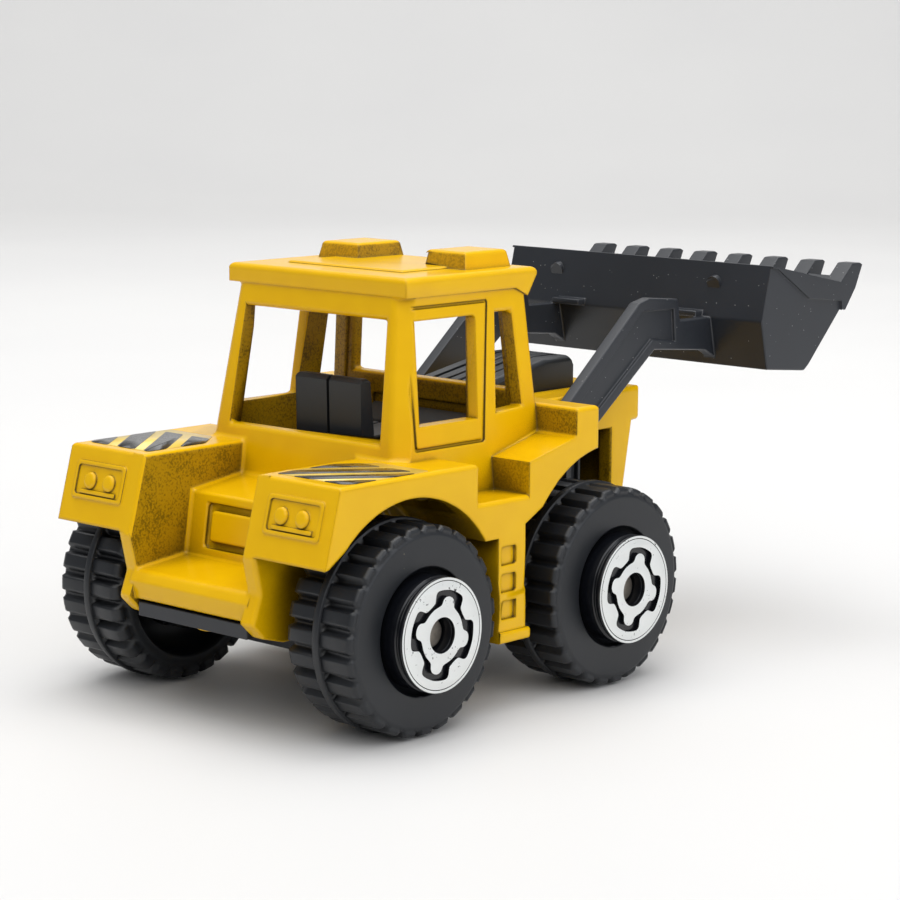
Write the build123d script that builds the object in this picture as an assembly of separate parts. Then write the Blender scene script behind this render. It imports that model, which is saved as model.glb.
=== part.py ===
import os
from math import atan2, cos, degrees, radians, sin
from build123d import *

# Toy front loader: a die-cast body riveted to a plastic base, with free wheels and a lifting shovel.
# Millimetres. X runs forward, Y to the left, Z up from the ground; x = 0 is the rear axle until
# the finished assembly is centred on its own length at the end.

# Wheels and axles
tyre_radius = 9.0
tyre_width = 7.7
tyre_inner_y = 10.25
wheel_base = 24.8
tyre_bore = 4.2
tread_depth = 0.9
lug_count = 27
lug_width = 1.15
lug_drop = 0.2
rib_width = 0.8
shoulder_radius = 1.1
boss_radius = 4.8
boss_rise = 1.75
boss_skirt = 0.9
axle_radius = 0.8
axle_head_radius = 1.25
axle_head_length = 0.5
head_recess = 1.1
print_thickness = 0.05

# Chassis walls, shared by the deck, the hood and the axle slots
wall = 1.3
chassis_outer_y = 8.3
chassis_wall = 1.45
chassis_bottom_z = 7.6
side_y = 16.4

# Rear fenders and side steps
fender_top_z = 21.7
fender_bottom_z = 15.0
fender_back_x = -10.1
fender_lean = 1.8
fender_front_x = 7.9
rear_arch_radius = 10.8
front_arch_radius = 11.25
front_arch_shift_x = 0.5
front_arch_shift_z = 1.2
low_shelf_z = 18.3
riser_one_x = 14.5
shelf_two_z = 21.1
riser_two_x = 20.7
shelf_two_rise = 1.5
block_top_z = 25.1
block_front_x = 23.6
ladder_bottom_z = 5.9
ladder_back_x = 10.6
ladder_front_x = 14.1

# Cab
cab_back_x = 3.3
cab_front_x = 20.8
cab_bottom_z = 18.3
cab_waist_z = 22.1
cab_top_z = 35.3
cab_half_waist = 11.9
cab_half_top = 10.5
cab_back_lean = 1.9
cab_front_lean = 0.7
cab_wall = 1.4
cab_corner = 1.2
roof_back_x = 5.05
roof_front_x = 22.1
roof_half = 10.75
roof_top_z = 36.95
visor_drop = 0.8
visor_set_back = 1.6
window_top_z = 33.3
rear_sill_z = 23.0
side_sill_z = 24.5
front_sill_z = 26.3

# Hood, radiator and engine bay
hood_top_z = 24.5
hood_front_x = 39.6
hood_deck = 1.2
radiator_back_x = 35.4
radiator_step_z = 21.35
radiator_bottom_z = 9.0
bay_top_z = 20.9
bay_back_x = 24.6
bay_sill_z = 12.5
bay_sill_front_x = 28.5
cover_half = 4.0
cover_back_x = 22.6
cover_front_x = 35.0
cover_top_z = 27.4

# Base plate
base_thickness = 1.2
base_bottom_z = 5.7
base_rear_z = 8.05
base_front_z = 7.3
base_back_x = -9.4
base_front_x = 36.9
rivet_radius = 1.1
rivet_head_radius = 1.6
rivet_head_height = 0.5
rear_rivet_x = -6.9
front_rivet_x = 34.4

# Shovel: two arms on a cross shaft, with the bucket moulded to them
pivot_x = 21.0
pivot_z = 16.5
shaft_radius = 1.2
arm_inner_y = 8.75
arm_thickness = 1.2
arm_root_radius = 1.9
bucket_half = 16.2
bucket_wall = 1.1
tooth_count = 8
tooth_width = 1.7

# Bucket outline in the raised pose
bucket_back_x = 49.3
bucket_top_z = 35.6
bucket_crease_x = 48.0
bucket_crease_z = 30.4
bucket_bottom_z = 25.2
bucket_floor_x = 55.7
lip_x = 61.2
lip_z = 31.0

# Clearances
seat_gap = 0.15
running_gap = 0.05
fit_gap = 0.02

tyre_outer_y = tyre_inner_y + tyre_width
hub_face_y = tyre_outer_y + boss_rise
chassis_inner_y = chassis_outer_y - chassis_wall
axle_z = tyre_radius
axle_end_y = hub_face_y - head_recess
base_half = chassis_inner_y - seat_gap


def slab(outline, near, far):
    """Solid between two upright lengthwise planes, from an outline of (x, z) points."""
    face = make_face(Polyline(*[(x, near, z) for x, z in outline], close=True))
    return extrude(face, amount=far - near, dir=(0, 1, 0))


def cross_slab(outline, back, front):
    """Solid between two upright crosswise planes, from an outline of (y, z) points."""
    face = make_face(Polyline(*[(back, y, z) for y, z in outline], close=True))
    return extrude(face, amount=front - back, dir=(1, 0, 0))


def block(x_range, y_range, z_range):
    """Box from its three ranges."""
    sizes = [high - low for low, high in (x_range, y_range, z_range)]
    middle = [(high + low) / 2 for low, high in (x_range, y_range, z_range)]
    return Pos(*middle) * Box(*sizes)


def rod(radius, x, z, near, far):
    """Cylinder across the toy."""
    return Pos(x, (near + far) / 2, z) * Rot(90, 0, 0) * Cylinder(radius, far - near)


def post(radius, x, low, high):
    """Upright cylinder on the centre line."""
    return Pos(x, 0, (low + high) / 2) * Cylinder(radius, high - low)


def pair(solid):
    """The left-hand solid with its right-hand mirror image."""
    return solid + mirror(solid, about=Plane.XZ)


def turned(profile, x, side):
    """Solid turned about an axle, from (radius, distance from the centre line) points."""
    face = make_face(Polyline(*[(radius, y, 0) for radius, y in profile], close=True))
    left = Pos(x, 0, axle_z) * revolve(face, axis=Axis.Y)
    return left if side > 0 else mirror(left, about=Plane.XZ)


def cab_box(inset, low, high):
    """Tapered box of the cab between two heights, inset from its outer faces."""
    sections = []
    for z in (low, high):
        share = (z - cab_waist_z) / (cab_top_z - cab_waist_z)
        half = cab_half_waist + (cab_half_top - cab_half_waist) * share - inset
        back = cab_back_x + cab_back_lean * share + inset
        front = cab_front_x - cab_front_lean * share - inset
        corners = [(back, -half, z), (front, -half, z), (front, half, z), (back, half, z)]
        sections.append(make_face(Polyline(*corners, close=True)))
    return loft(sections, ruled=True)


def fender_face():
    """Plane on the left fender's rear face, with its X axis pointing to the right."""
    lean = atan2(fender_lean, fender_top_z - fender_bottom_z)
    middle_y = (chassis_inner_y + side_y) / 2
    origin = (fender_back_x + fender_lean / 2, middle_y, (fender_top_z + fender_bottom_z) / 2)
    return Plane(origin=origin, x_dir=(0, -1, 0), z_dir=(-cos(lean), 0, sin(lean)))


def lamp_cluster():
    """Raised frame, two lamps and a reflector bar on the left fender's rear face."""
    frame_width = 6.4
    frame_height = 3.3
    frame_centre = (-0.3, 0.5)
    frame_rim = 0.35
    frame_rise = 0.18
    lamp_radius = 0.74
    lamp_rise = 0.4
    lamp_spacing = 2.4
    bar_length = 4.6
    bar_height = 0.36
    face = fender_face()
    outer = RectangleRounded(frame_width, frame_height, frame_rim)
    inner = Rectangle(frame_width - 2 * frame_rim, frame_height - 2 * frame_rim)
    cluster = extrude(face * (Pos(*frame_centre) * (outer - inner)), amount=frame_rise)
    bar = Pos(frame_centre[0], frame_centre[1] - frame_height / 2 + 0.65) * Rectangle(bar_length, bar_height)
    cluster += extrude(face * bar, amount=frame_rise)
    for offset in (-lamp_spacing / 2 - 0.15, lamp_spacing / 2 - 0.15):
        lamp = extrude(face * (Pos(offset, frame_centre[1]) * Circle(lamp_radius)), amount=lamp_rise)
        cluster += fillet(lamp.faces().sort_by(Axis.X)[0].edges(), 0.3)
    return cluster


def wheel_arches():
    """Space cut outside the left chassis wall, for both tyres and the arm that passes beside them."""
    near = chassis_outer_y
    far = side_y + 1
    cut = rod(rear_arch_radius, 0, axle_z, near, far)
    # Behind the tyre the arch runs straight back to the fender's lower edge.
    run = 3.3
    rise = (rear_arch_radius ** 2 - run ** 2) ** 0.5
    edge_thickness = 0.6
    straight = [
        (-run, axle_z),
        (-run, axle_z + rise),
        (fender_back_x + edge_thickness, fender_bottom_z + 0.3),
        (fender_back_x - 1, fender_bottom_z),
        (fender_back_x - 1, axle_z),
    ]
    cut += slab(straight, near, far)
    front_x = wheel_base + front_arch_shift_x
    cut += rod(front_arch_radius, front_x, axle_z + front_arch_shift_z, near, far)
    return cut


def side_lump():
    """Left fender, step block and ladder panel, with both wheel arches cut out."""
    outline = [
        (fender_back_x, fender_bottom_z),
        (fender_back_x + fender_lean, fender_top_z),
        (fender_front_x, fender_top_z),
        (fender_front_x, low_shelf_z),
        (riser_one_x, low_shelf_z),
        (riser_one_x, shelf_two_z),
        (riser_two_x, shelf_two_z + shelf_two_rise),
        (riser_two_x, block_top_z),
        (block_front_x, block_top_z),
        (block_front_x, bay_top_z),
        (ladder_front_x, bay_top_z - 5),
        (ladder_front_x, ladder_bottom_z),
        (ladder_back_x, ladder_bottom_z),
        (ladder_back_x, fender_bottom_z),
    ]
    lump = slab(outline, chassis_inner_y, side_y)
    upper = [edge for edge in lump.edges().filter_by(Axis.X) if edge.center().Y > side_y - 0.1]
    upper += [edge for edge in lump.edges().filter_by(Axis.Y) if edge.center().Z > fender_top_z - 0.1]
    lump = fillet([e for e in upper if e.center().Z > low_shelf_z - 0.1 and e.length > 1], 0.4)

    lump -= wheel_arches()

    # Cored from below, as a casting is, so the outer skin keeps one wall thickness.
    core_y = chassis_outer_y
    rear_core = [
        (fender_back_x + wall + 0.4, fender_bottom_z),
        (fender_back_x + fender_lean + wall, fender_top_z - wall),
        (fender_front_x - wall, fender_top_z - wall),
        (fender_front_x - wall, axle_z),
        (0, axle_z),
    ]
    lump -= slab(rear_core, core_y, side_y - wall)
    front_core = [
        (riser_one_x + wall, axle_z),
        (riser_one_x + wall, shelf_two_z - wall),
        (riser_two_x + wall, shelf_two_z + shelf_two_rise - wall),
        (block_front_x - wall, shelf_two_z + shelf_two_rise - wall),
        (block_front_x - wall, axle_z),
    ]
    lump -= slab(front_core, core_y + wall, side_y - wall)

    # Three foot recesses up the ladder panel.
    rung_count = 3
    rung_height = 1.65
    rung_pitch = 2.35
    rung_depth = 0.35
    for rung in range(rung_count):
        low = ladder_bottom_z + 2.0 + rung * rung_pitch
        recess_x = (ladder_back_x + 0.35, ladder_front_x - 1.2)
        lump -= block(recess_x, (side_y - rung_depth, side_y + 1), (low, low + rung_height))

    # A rounded foot along the bottom of the ladder panel.
    foot_rise = 0.3
    foot_height = 1.0
    foot = block(
        (ladder_back_x, ladder_front_x + foot_rise),
        (side_y - wall, side_y + foot_rise),
        (ladder_bottom_z, ladder_bottom_z + foot_height),
    )
    lump += fillet([e for e in foot.edges().filter_by(Axis.X) if e.center().Y > side_y], 0.28)
    return lump


def chassis_wall_solid():
    """Left lengthwise wall, from the rear bumper to the radiator, slotted for axles and shaft."""
    outline = [
        (-8.9, base_rear_z + 0.2),
        (-10.3, 9.6),
        (-9.4, 12.0),
        (fender_back_x, fender_bottom_z),
        (fender_back_x + fender_lean, fender_top_z),
        (cab_front_x - 1, fender_top_z),
        (cab_front_x - 1, hood_top_z),
        (hood_front_x, hood_top_z),
        (hood_front_x, radiator_step_z),
        (hood_front_x - 1.0, radiator_step_z - 0.1),
        (hood_front_x - 2.1, 15.3),
        (hood_front_x - 2.8, radiator_bottom_z),
        (radiator_back_x, radiator_bottom_z),
        (radiator_back_x, bay_top_z),
        (bay_back_x, bay_top_z),
        (bay_back_x, bay_sill_z),
        (bay_sill_front_x, bay_sill_z),
        (bay_sill_front_x, chassis_bottom_z),
        (-6.5, chassis_bottom_z),
    ]
    side = slab(outline, chassis_inner_y, chassis_outer_y)
    for x in (0, wheel_base):
        slot_radius = axle_radius + fit_gap
        side -= rod(slot_radius, x, axle_z, chassis_inner_y - 1, chassis_outer_y + 1)
        slot_y = (chassis_inner_y - 1, chassis_outer_y + 1)
        side -= block((x - slot_radius, x + slot_radius), slot_y, (axle_z - 3, axle_z))
    bore = shaft_radius + running_gap
    side -= rod(bore, pivot_x, pivot_z, chassis_inner_y - 1, chassis_outer_y + 1)
    side -= block((pivot_x - bore, pivot_x + bore), slot_y, (chassis_bottom_z - 1, pivot_z))
    return side


def rear_centre():
    """Shelf, framed panel, lower deck and bumper between the rear fenders."""
    half = chassis_inner_y + 0.4
    panel_half = 4.8
    outline = [
        (cab_back_x + 0.05, cab_waist_z),
        (2.8, 18.8),
        (-3.0, 18.0),
        (-3.8, 12.6),
        (-9.4, 12.0),
        (-9.9, 11.1),
        (-9.6, 9.45),
        (-8.3, 9.45),
        (-8.3, 10.75),
        (-2.6, 11.35),
        (-1.8, 16.85),
        (4.3, 17.55),
        (cab_back_x + wall + 0.3, cab_waist_z),
    ]
    centre = slab(outline, -half, half)
    lean = degrees(atan2(0.8, 5.4))
    face = Pos(-3.4, 0, 15.3) * Rot(0, lean, 0)
    centre -= face * Box(0.9, 2 * panel_half, 3.9)
    centre += face * (Pos(0.25, 0, 0) * Box(0.8, 2 * panel_half - 1.5, 2.7))
    return centre


def cab_shell():
    """Cab with its windows, door lines and roof."""
    outer = cab_box(0, cab_bottom_z, cab_top_z)
    corners = outer.edges().sort_by(Axis.X)
    upright = [edge for edge in corners if abs(edge.tangent_at(0.5).Z) > 0.9][:2]
    outer = chamfer(upright, cab_corner)
    shell = outer - cab_box(cab_wall, cab_bottom_z - 1, cab_top_z + 0.01)

    rear_window = [(-9.1, rear_sill_z), (9.1, rear_sill_z), (8.5, window_top_z), (-8.5, window_top_z)]
    shell -= cross_slab(rear_window, cab_back_x - 3, cab_back_x + 5)
    windshield = [(-9.4, front_sill_z), (9.4, front_sill_z), (8.7, window_top_z), (-8.7, window_top_z)]
    shell -= cross_slab(windshield, cab_front_x - 4, cab_front_x + 3)
    # Below the sill the cab is open to the hood, so that the engine moulding can pass under it.
    half = chassis_inner_y
    shell -= block((cab_front_x - 4, cab_front_x + 3), (-half, half), (cab_bottom_z - 2, hood_top_z - 0.1))
    door_window = [(5.8, side_sill_z), (6.1, window_top_z), (13.7, window_top_z), (13.1, side_sill_z)]
    quarter = [(15.6, side_sill_z + 0.3), (16.3, window_top_z), (18.5, window_top_z), (19.0, 25.0)]
    for opening in (door_window, quarter):
        shell -= slab(opening, -cab_half_waist - 2, cab_half_waist + 2)

    # Door outline, a shallow groove in the sloping side.
    groove = 0.3
    depth = 0.2
    tilt = degrees(atan2(cab_half_waist - cab_half_top, cab_top_z - cab_waist_z))
    face = Plane(
        origin=(0, cab_half_waist, cab_waist_z),
        x_dir=(1, 0, 0),
        z_dir=(0, cos(radians(tilt)), sin(radians(tilt))),
    )
    door = [(5.05, 0.35), (13.8, 0.35), (15.4, 12.5), (5.05, 12.5)]
    inner = [(5.05 + groove, 0.65), (13.8 - groove, 0.65), (15.4 - groove, 12.2), (5.05 + groove, 12.2)]
    rings = []
    for points in (door, inner):
        rings.append(make_face(Polyline(*[(x, -height) for x, height in points], close=True)))
    shell -= pair(extrude(face * (rings[0] - rings[1]), amount=-depth))
    return shell - pair(wheel_arches())


def roof():
    """Roof slab with its visor, centre panel and two lamp boxes."""
    outline = [
        (roof_back_x, cab_top_z),
        (roof_back_x, roof_top_z),
        (roof_front_x, roof_top_z),
        (roof_front_x - visor_set_back, cab_top_z - visor_drop),
        (roof_front_x - visor_set_back - 1.6, cab_top_z - 0.05),
    ]
    top = slab(outline, -roof_half, roof_half)
    top = fillet(top.faces().sort_by(Axis.Z)[-1].edges(), 0.5)
    panel = block((8.6, 20.0), (-6.9, 6.9), (roof_top_z - 0.3, roof_top_z + 0.2))
    top += chamfer(panel.faces().sort_by(Axis.Z)[-1].edges(), 0.15)
    box_length = 6.0
    box_width = 5.1
    box_rise = 1.5
    box_x = 17.3
    box_y = 6.4
    for y in (box_y, -box_y):
        base = Pos(box_x, y, roof_top_z - 0.2) * Rectangle(box_length, box_width)
        raised = Pos(box_x, y, roof_top_z + box_rise) * Rectangle(box_length - 0.7, box_width - 0.7)
        lamp_box = loft([base, raised], ruled=True)
        upper = lamp_box.faces().sort_by(Axis.Z)[-1].edges()
        top += fillet(upper, 0.4)
    return top


def hood():
    """Hood deck, radiator front and its rivet rib."""
    half = chassis_outer_y
    deck = block((cab_front_x - 1.2, hood_front_x), (-half, half), (hood_top_z - hood_deck, hood_top_z))
    opening = cover_half + 0.1
    deck -= block((cover_back_x - 0.1, cover_front_x + 0.1), (-opening, opening), (20, 30))
    front = [
        (hood_front_x, hood_top_z),
        (hood_front_x, radiator_step_z),
        (hood_front_x - 1.0, radiator_step_z - 0.1),
        (hood_front_x - 2.1, 15.3),
        (hood_front_x - 2.8, radiator_bottom_z),
        (hood_front_x - 2.8 - wall, radiator_bottom_z),
        (hood_front_x - 2.1 - wall, 15.3),
        (hood_front_x - 1.0 - wall, radiator_step_z),
        (hood_front_x - 1.0 - wall, hood_top_z),
    ]
    nose = slab(front, -half, half)
    # Cooling slots in the radiator's front face.
    slot_count = 7
    slot_pitch = 1.7
    slot_depth = 0.45
    lean = degrees(atan2(1.1, 6.0))
    for slot in range(slot_count):
        y = (slot - (slot_count - 1) / 2) * slot_pitch
        nose -= Pos(hood_front_x - 1.55, y, 18.3) * Rot(0, lean, 0) * Box(2 * slot_depth, 0.9, 4.6)
    rib = block((front_rivet_x, hood_front_x - 3.3), (-0.7, 0.7), (base_front_z + 1.6, bay_top_z + 0.5))
    lug = post(rivet_radius, front_rivet_x, base_front_z, bay_top_z)
    head = post(rivet_head_radius, front_rivet_x, base_front_z - rivet_head_height, base_front_z)
    edges = nose.edges().filter_by(Axis.Y).filter_by(lambda e: e.center().Z > hood_top_z - 0.1)
    front_edge = edges.sort_by(Axis.X)[-1]
    nose = fillet(front_edge, 0.6)
    return deck + nose + rib + lug + chamfer(head.edges().group_by(Axis.Z)[0], 0.25)


def body_casting():
    """The yellow casting: fenders, steps, chassis walls, cab, roof, hood and rivet posts."""
    body = pair(side_lump())
    pocket = cab_box(cab_wall, cab_bottom_z + 1.2, cab_top_z)
    body -= pocket
    body += pair(chassis_wall_solid()) - cab_box(cab_wall, cab_bottom_z + 1.2, cab_top_z)
    body += pair(lamp_cluster())
    body += rear_centre()
    body += cab_shell()
    body += roof()
    body += hood()
    lug = post(rivet_radius, rear_rivet_x, base_rear_z, 11.5)
    head = post(rivet_head_radius, rear_rivet_x, base_rear_z - rivet_head_height, base_rear_z)
    body += lug + chamfer(head.edges().group_by(Axis.Z)[0], 0.25)
    return body


def base_plate():
    """Black base, with saddles under the axles and towers under the shovel shaft."""
    rise = base_thickness
    rear_ramp_x = -2.4
    front_ramp_x = wheel_base + 3.4
    ramp_run = 1.9
    bend = 0.6
    outline = [
        (base_back_x, base_rear_z),
        (rear_ramp_x - ramp_run, base_rear_z),
        (rear_ramp_x, base_bottom_z),
        (front_ramp_x, base_bottom_z),
        (front_ramp_x + ramp_run, base_front_z),
        (base_front_x, base_front_z),
        (base_front_x, base_front_z + rise),
        (front_ramp_x + ramp_run - bend, base_front_z + rise),
        (front_ramp_x - bend, base_bottom_z + rise),
        (rear_ramp_x + bend, base_bottom_z + rise),
        (rear_ramp_x - ramp_run + bend, base_rear_z + rise),
        (base_back_x, base_rear_z + rise),
    ]
    plate = slab(outline, -base_half, base_half)
    plate -= block((radiator_back_x - 0.2, base_front_x + 1), (base_half - 0.6, base_half + 1), (6, 10))
    plate -= block((radiator_back_x - 0.2, base_front_x + 1), (-base_half - 1, 0.6 - base_half), (6, 10))
    saddle_y = (base_half - 1.5, base_half)
    for x in (0, wheel_base):
        saddle = block((x - 1.6, x + 1.6), saddle_y, (base_bottom_z + 0.2, axle_z))
        saddle -= rod(axle_radius + fit_gap, x, axle_z, 0, base_half + 1)
        plate += pair(saddle)
    tower = block((pivot_x - 1.9, pivot_x + 1.9), saddle_y, (base_bottom_z + 0.2, pivot_z))
    tower -= rod(shaft_radius + running_gap, pivot_x, pivot_z, 0, base_half + 1)
    plate += pair(tower)
    for x in (rear_rivet_x, front_rivet_x):
        plate -= post(rivet_radius + fit_gap, x, base_bottom_z - 1, base_rear_z + 3)
    return plate


def seat_moulding():
    """Black cab interior: floor, pedestal, two-part seat and console."""
    floor_top = 19.5
    half = chassis_inner_y - seat_gap
    floor_x = (cab_back_x + cab_wall + 0.6, cab_front_x - 2.0)
    moulding = block(floor_x, (-half, half), (floor_top - 1.0, floor_top))
    moulding += block((8.0, 13.0), (-3.0, 3.0), (base_bottom_z + base_thickness, floor_top))
    seat_half = 4.0
    seam = 0.3
    cushion = [(7.2, floor_top), (7.2, 22.6), (13.2, 23.0), (13.6, 22.4), (13.2, floor_top)]
    backrest = [(6.8, floor_top), (6.6, 27.3), (6.9, 27.7), (7.5, 27.7), (7.9, 27.3), (8.4, 22.4)]
    for side in (1, -1):
        near, far = sorted((side * seam / 2, side * seat_half))
        moulding += slab(cushion, near, far)
        rest = slab(backrest, near, far)
        outer = [e for e in rest.edges().filter_by(Axis.X) if abs(e.center().Y) > seat_half - 0.1]
        moulding += fillet(outer, 0.4) if outer else rest
    moulding += block((6.5, 13.0), (-0.4, 0.4), (floor_top - 0.5, 22.2))
    console = [(15.4, floor_top), (15.9, 22.6), (18.6, 23.8), (18.6, floor_top)]
    moulding += slab(console, -half + 0.8, half - 0.8)
    return moulding


def engine_moulding():
    """Black engine: ribbed sides in the bay and a louvred cover through the hood deck."""
    half = chassis_inner_y - seat_gap
    back_x = cover_back_x + 0.4
    front_x = radiator_back_x - 2.4
    top_z = hood_top_z - hood_deck - 0.1
    foot_z = base_bottom_z + base_thickness
    engine = block((back_x, front_x), (-half, half), (axle_z + axle_radius + 0.6, top_z))
    leg_x = (wheel_base + axle_radius + 0.4, wheel_base + axle_radius + 1.8)
    engine += block(leg_x, (-3.0, 3.0), (foot_z, top_z))
    rib_count = 5
    rib_depth = 0.5
    pitch = (front_x - bay_back_x) / rib_count
    for rib in range(rib_count):
        gap_x = bay_back_x + (rib + 0.25) * pitch
        slot = block((gap_x, gap_x + pitch / 2), (half - rib_depth, half + 1), (bay_sill_z + 0.5, top_z))
        engine -= pair(slot)
    cover = [
        (cover_back_x, top_z - 0.5),
        (cover_back_x, cover_top_z - 1.5),
        (cover_front_x - 4.0, cover_top_z),
        (cover_front_x - 0.6, cover_top_z),
        (cover_front_x, cover_top_z - 0.9),
        (cover_front_x, top_z - 0.5),
    ]
    louvred = slab(cover, -cover_half, cover_half)
    long_edges = [e for e in louvred.edges() if abs(e.center().Y) > cover_half - 0.1]
    upper = [e for e in long_edges if e.center().Z > cover_top_z - 1 and abs(e.tangent_at(0.5).X) > 0.7]
    louvred = fillet(upper, 0.6)
    groove_count = 4
    groove_pitch = 1.5
    for groove in range(groove_count):
        y = (groove - (groove_count - 1) / 2) * groove_pitch
        line = [(x, z - 0.35) for x, z in cover[1:4]]
        raised = [(x, z + 1) for x, z in reversed(cover[1:4])]
        louvred -= slab(line + raised, y - 0.25, y + 0.25)
    return engine + louvred


def shovel():
    """Cross shaft, two channelled arms and the toothed bucket, moulded in one piece."""
    outer_y = arm_inner_y + arm_thickness
    elbow_x = 37.2
    elbow_z = 32.5
    neck_x = 43.0
    arm = [
        (pivot_x - 1.2, pivot_z + 1.45),
        (elbow_x, elbow_z),
        (elbow_x + 1.7, elbow_z + 0.35),
        (neck_x, elbow_z),
        (neck_x + 0.4, bucket_crease_z),
        (bucket_crease_x + 0.5, bucket_crease_z),
        (bucket_crease_x + 1.4, bucket_crease_z - 4.2),
        (bucket_crease_x - 0.6, 27.3),
        (39.6, 28.0),
        (pivot_x + 1.1, pivot_z - 1.55),
    ]
    arm_solid = slab(arm, arm_inner_y, outer_y)
    arm_solid += rod(arm_root_radius, pivot_x, pivot_z, arm_inner_y, outer_y)
    rim = 0.8
    channel = [
        (pivot_x + 3.2, pivot_z + 3.6),
        (elbow_x + 0.5, elbow_z - 0.8),
        (neck_x - 0.6, elbow_z - 0.9),
        (neck_x - 0.3, 28.5),
        (39.3, 29.0),
        (pivot_x + 4.6, pivot_z + 2.2),
    ]
    arm_solid -= slab(channel, outer_y - 0.35, outer_y + 1)
    tab_y = (arm_inner_y - 3.2, arm_inner_y + 0.2)
    arm_solid += block((bucket_crease_x - 1.0, bucket_crease_x + 0.6), tab_y, (elbow_z - 2.1, elbow_z - 1.5))
    arms = pair(arm_solid)
    shaft = rod(shaft_radius, pivot_x, pivot_z, -arm_inner_y - 0.1, arm_inner_y + 0.1)
    return arms + shaft + bucket()


def bucket():
    """Open bucket in its raised pose, with a thick lip that ends in teeth."""
    outer = [
        (bucket_back_x, bucket_top_z),
        (bucket_crease_x, bucket_crease_z),
        (bucket_back_x - 0.25, bucket_bottom_z + 0.6),
        (bucket_floor_x - 0.6, bucket_bottom_z),
        (bucket_floor_x, bucket_bottom_z + 0.4),
        (lip_x, lip_z),
        (lip_x + 1.3, lip_z + 2.0),
        (lip_x - 1.9, lip_z + 2.6),
        (53.6, bucket_top_z - 0.85),
    ]
    inner = [
        (bucket_back_x + bucket_wall, bucket_top_z + 1),
        (bucket_crease_x + bucket_wall, bucket_crease_z),
        (bucket_back_x + bucket_wall - 0.3, bucket_bottom_z + 0.6 + bucket_wall),
        (bucket_floor_x - 0.9, bucket_bottom_z + bucket_wall),
        (lip_x - 1.0, lip_z + 1.0),
        (lip_x - 0.5, lip_z + 4.0),
        (lip_x - 4.0, lip_z + 6.0),
    ]
    body = slab(outer, -bucket_half, bucket_half)
    body -= slab(inner, -bucket_half + bucket_wall, bucket_half - bucket_wall)
    band = [
        (lip_x - 0.35, lip_z - 0.3),
        (lip_x + 0.25, lip_z - 0.45),
        (lip_x + 1.9, lip_z + 1.6),
        (lip_x + 0.2, lip_z + 2.9),
        (lip_x - 1.3, lip_z + 1.2),
    ]
    body += slab(band, -bucket_half, bucket_half)
    tooth = [
        (lip_x + 0.2, lip_z + 0.6),
        (lip_x + 1.9, lip_z + 1.6),
        (lip_x + 3.0, bucket_top_z - 0.75),
        (lip_x + 2.6, bucket_top_z - 0.55),
        (lip_x + 1.2, bucket_top_z - 0.55),
        (lip_x - 0.9, lip_z + 2.2),
    ]
    pitch = (2 * bucket_half - tooth_width) / (tooth_count - 1)
    for index in range(tooth_count):
        start = -bucket_half + index * pitch
        body += slab(tooth, start, start + tooth_width)
    # The end plates stand proud above a bent line, as one thick rim down to the lip.
    end_step = 0.25
    lower_end = [
        (bucket_crease_x - 2, bucket_top_z + 0.1),
        (bucket_back_x + 0.8, bucket_top_z - 0.3),
        (55.4, 32.1),
        (lip_x - 0.4, lip_z + 0.5),
        (lip_x - 0.4, bucket_bottom_z - 1),
        (bucket_crease_x - 2, bucket_bottom_z - 1),
    ]
    body -= pair(slab(lower_end, bucket_half - end_step, bucket_half + 1))

    mark_radius = 0.75
    for y in (-arm_inner_y - 1.0, arm_inner_y + 1.0):
        mark = Pos(bucket_back_x - 0.35, y, 33.6) * Rot(0, 90 - 14, 0) * Cylinder(mark_radius, 0.7)
        body += mark
    return body


def axle(x):
    """Steel axle with a formed head at each end."""
    pin = rod(axle_radius, x, axle_z, -axle_end_y, axle_end_y)
    for side in (1, -1):
        near, far = sorted((side * (axle_end_y - axle_head_length), side * axle_end_y))
        head = rod(axle_head_radius, x, axle_z, near, far)
        outer = head.edges().filter_by(GeomType.CIRCLE).sort_by(Axis.Y)
        pin += fillet(outer[-1] if side > 0 else outer[0], 0.2)
    return pin


def shoulder(lift):
    """Outer half of the tread's outline, from the flat over the shoulder, raised by a fading lift."""
    base = tyre_radius - tread_depth - shoulder_radius
    flat_y = tyre_outer_y - shoulder_radius
    points = []
    for angle in (0, 30, 60, 90):
        reach = shoulder_radius + lift * cos(radians(angle)) ** 2
        points.append((base + reach * cos(radians(angle)), flat_y + reach * sin(radians(angle))))
    return points


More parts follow.
